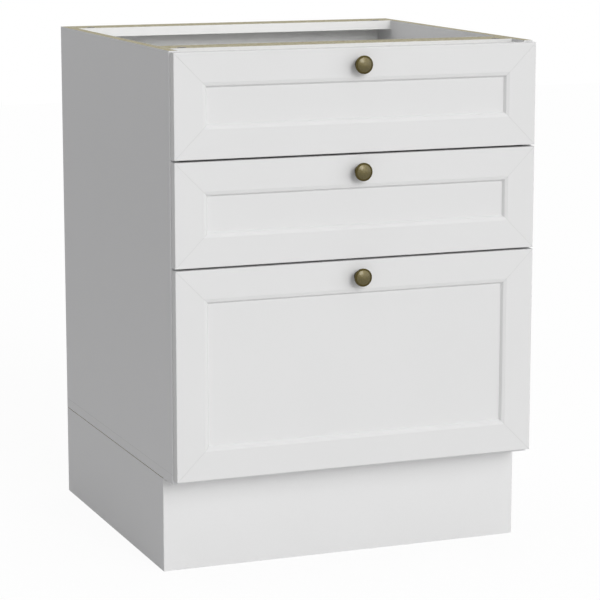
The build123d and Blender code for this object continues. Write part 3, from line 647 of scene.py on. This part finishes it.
class CABINET_OT_plinth(bpy.types.Operator):
    """White melamine on the plinth boards and planed pine on the corner blocks"""

    bl_idname = "cabinet.plinth"
    bl_label = "Plinth"

    def execute(self, context):
        s = context.scene.cabinet_boards
        # the plinth's front takes the lighter copy of the melamine as painted light against the
        # overhang's shade
        front = white_board("plinth_front_melamine", s.plinth_white_painted_light, plinth_core, 0)
        cover(front, "plinth_front")
        behind = ("plinth_rear", "plinth_side_left", "plinth_side_right")
        cover(white_board("plinth_melamine", s.white, plinth_core, 0), *behind)
        cover(sawn_wood("block_pine", s.pine, s.pine_dark, s.ring, 2), "plinth_blocks")
        beech = sawn_wood("dowel_beech", shade(s.pine, 0.95), s.pine_dark, 1.6 * MM, 0)
        cover(beech, "rail_dowels")
        return {"FINISHED"}


class CABINET_OT_hardboards(bpy.types.Operator):
    """Hardboard back, painted inside, and drawer bottoms, painted on top"""

    bl_idname = "cabinet.hardboards"
    bl_label = "Back and drawer bottoms"

    def execute(self, context):
        cover(hardboard("back_hardboard", back_inside), "back_panel")
        bottoms = [f"drawer_{drawer}_box_bottom" for drawer in DRAWERS]
        cover(hardboard("bottom_hardboard", bottom_top), *bottoms)
        return {"FINISHED"}


class CABINET_OT_fronts(bpy.types.Operator):
    """Satin lacquer on the frames and panels of the drawer fronts"""

    bl_idname = "cabinet.fronts"
    bl_label = "Drawer fronts"

    def execute(self, context):
        for drawer in DRAWERS:
            pieces = [f"drawer_{drawer}_front_{piece}" for piece in ("rails", "stiles", "panel")]
            cover(front_lacquer(drawer), *pieces)
        return {"FINISHED"}


class CABINET_OT_knobs(bpy.types.Operator):
    """Aged brass on the knobs"""

    bl_idname = "cabinet.knobs"
    bl_label = "Knobs"

    def execute(self, context):
        for drawer in DRAWERS:
            cover(aged_brass(drawer), f"drawer_{drawer}_knob")
        return {"FINISHED"}


class CABINET_OT_drawer_boxes(bpy.types.Operator):
    """White melamine on the drawer boxes, with the bare core on their lower edges"""

    bl_idname = "cabinet.drawer_boxes"
    bl_label = "Drawer boxes"

    def execute(self, context):
        # the drawer boxes take the lighter copy of the melamine: painted light inside the carcass
        white = context.scene.cabinet_boards.inner_white_painted_light
        sides = [f"drawer_{drawer}_box_sides" for drawer in DRAWERS]
        ends = [f"drawer_{drawer}_box_{end}" for drawer in DRAWERS for end in ("front", "back")]
        cover(white_board("box_side_melamine", white, box_core, 0), *sides)
        cover(white_board("box_end_melamine", white, box_core, 1), *ends)
        return {"FINISHED"}


class CABINET_OT_slides(bpy.types.Operator):
    """Zinc plate on the ball slides and dark cages with bright balls between their channels"""

    bl_idname = "cabinet.slides"
    bl_label = "Slides"

    def execute(self, context):
        channels = [f"drawer_{drawer}_channels" for drawer in DRAWERS]
        cover(slide_steel(), "cabinet_channels", *channels)
        for drawer in DRAWERS:
            cover(slide_members(drawer), f"slide_members_{drawer}")
        return {"FINISHED"}


class CABINET_OT_fasteners(bpy.types.Operator):
    """Plated screws and nails and cast cam fittings"""

    bl_idname = "cabinet.fasteners"
    bl_label = "Screws, nails and cams"

    def execute(self, context):
        groups = ("front_fixings", "box_screws", "channel_screws")
        screws = [f"drawer_{drawer}_{group}" for drawer in DRAWERS for group in groups]
        screws += ["bottom_screws", "back_nails", "plinth_screws", "cabinet_channel_screws"]
        cover(screw_steel(), "cam_bolts", *screws)
        cover(cast_zinc(), "cam_locks")
        return {"FINISHED"}


class CABINET_OT_stage(bpy.types.Operator):
    """Pale floor, soft lights, room light and the camera"""

    bl_idname = "cabinet.stage"
    bl_label = "Stage"

    def floor(self, s):
        """A square of small faces, white to the camera but for a trace of the shadow."""
        mesh = bpy.data.meshes.new("floor")
        steps = 8
        row = steps + 1
        places = [s.floor_side * (i / steps - 0.5) for i in range(row)]
        corners = [(x, y, 0) for y in places for x in places]
        starts = [j * row + i for j in range(steps) for i in range(steps)]
        mesh.from_pydata(corners, [], [(a, a + 1, a + row + 1, a + row) for a in starts])
        floor = bpy.data.objects.new("floor", mesh)
        bpy.context.scene.collection.objects.link(floor)
        f = Finish("floor_paint")
        grain = f.noise(f.place(), 60.0, 3.0)
        paint = f.blend(grain, shade(s.floor, 0.985), s.floor)
        seen = self.seen(f)
        matt = f.node(
            "BsdfPrincipled",
            values={
                "Base Color": f.blend(seen, paint, (1, 1, 1)),
                "Roughness": 0.8,
                "Specular IOR Level": 0.1,
            },
        )
        white = f.node("Emission", values={"Color": (1, 1, 1), "Strength": 1.0})
        mixed = f.node("MixShader", values={0: seen * (1 - s.shadow), 1: matt, 2: white})
        f.node("OutputMaterial", values={"Surface": mixed})
        mesh.materials.append(f.owner)

    def seen(self, f):
        """1 for what the camera, a reflection or a clear thing shows; 0 for light on a surface."""
        paths = f.node("LightPath").socket.node.outputs
        seen, glossy, clear = [
            Value(f, paths[f"Is {kind} Ray"]) for kind in ("Camera", "Glossy", "Transmission")
        ]
        return seen.over(glossy).over(clear)

    def room(self, s):
        """Even light on the surfaces, and white behind them."""
        f = Finish("room", "worlds")
        light = f.node("Background", values={"Color": (1, 1, 1), "Strength": s.sky})
        white = f.node("Background", values={"Color": (1, 1, 1), "Strength": 1.0})
        mixed = f.node("MixShader", values={0: self.seen(f), 1: light, 2: white})
        f.node("OutputWorld", values={"Surface": mixed})
        bpy.context.scene.world = f.owner

    def lamp(self, s, name):
        """A far, soft lamp. A share of 1 lights a facing surface to its own colour."""
        data = bpy.data.lights.new(f"{name}_lamp", "SUN")
        data.energy = getattr(s, f"{name}_share") * math.pi
        data.angle = getattr(s, f"{name}_spread")
        towards = Vector(getattr(s, f"{name}_from")).normalized()
        lamp = bpy.data.objects.new(f"{name}_lamp", data)
        lamp.location = towards * LAMP_AWAY
        lamp.rotation_euler = towards.to_track_quat("Z", "Y").to_euler()
        bpy.context.scene.collection.objects.link(lamp)

    def camera(self, s):
        """Stands where the photograph was taken from."""
        data = bpy.data.cameras.new("camera")
        data.lens = s.lens
        data.sensor_width = 36.0
        data.clip_end = 50.0
        camera = bpy.data.objects.new("camera", data)
        camera.location = s.eye
        camera.rotation_euler = (math.pi / 2 - s.pitch, 0, -s.heading)
        bpy.context.scene.collection.objects.link(camera)
        bpy.context.scene.camera = camera

    def execute(self, context):
        s = context.scene.cabinet_stage
        self.floor(s)
        self.room(s)
        for name in ("key", "low", "top", "high"):
            self.lamp(s, name)
        self.camera(s)
        context.scene.view_settings.view_transform = "Standard"
        return {"FINISHED"}


class CABINET_PT_panel(bpy.types.Panel):
    """Lists the settings and the steps that finish the cabinet"""

    bl_idname = "CABINET_PT_panel"
    bl_label = "Base cabinet"
    bl_space_type = "VIEW_3D"
    bl_region_type = "UI"
    bl_category = "Cabinet"

    def draw(self, context):
        for name, group in SETTINGS.items():
            box = self.layout.box()
            box.label(text=group.__doc__)
            for setting in group.__annotations__:
                box.prop(getattr(context.scene, name), setting)
        for operator in STEPS:
            self.layout.operator(operator.bl_idname)


SETTINGS = {
    "cabinet_boards": CabinetBoardSettings,
    "cabinet_fronts": CabinetFrontSettings,
    "cabinet_steel": CabinetSteelSettings,
    "cabinet_stage": CabinetStageSettings,
}
STEPS = (  # in the order in which main runs them
    CABINET_OT_carcass,
    CABINET_OT_plinth,
    CABINET_OT_hardboards,
    CABINET_OT_fronts,
    CABINET_OT_knobs,
    CABINET_OT_drawer_boxes,
    CABINET_OT_slides,
    CABINET_OT_fasteners,
    CABINET_OT_stage,
)
CLASSES = (*SETTINGS.values(), *STEPS, CABINET_PT_panel)


def register():
    for kind in CLASSES:
        bpy.utils.register_class(kind)
    for name, group in SETTINGS.items():
        setattr(bpy.types.Scene, name, PointerProperty(type=group))


def unregister():
    for name in SETTINGS:
        delattr(bpy.types.Scene, name)
    for kind in reversed(CLASSES):
        bpy.utils.unregister_class(kind)


def main():
    register()
    for operator in STEPS:
        group, name = operator.bl_idname.split(".")
        getattr(getattr(bpy.ops, group), name)()


if __name__ == "__main__":
    main()
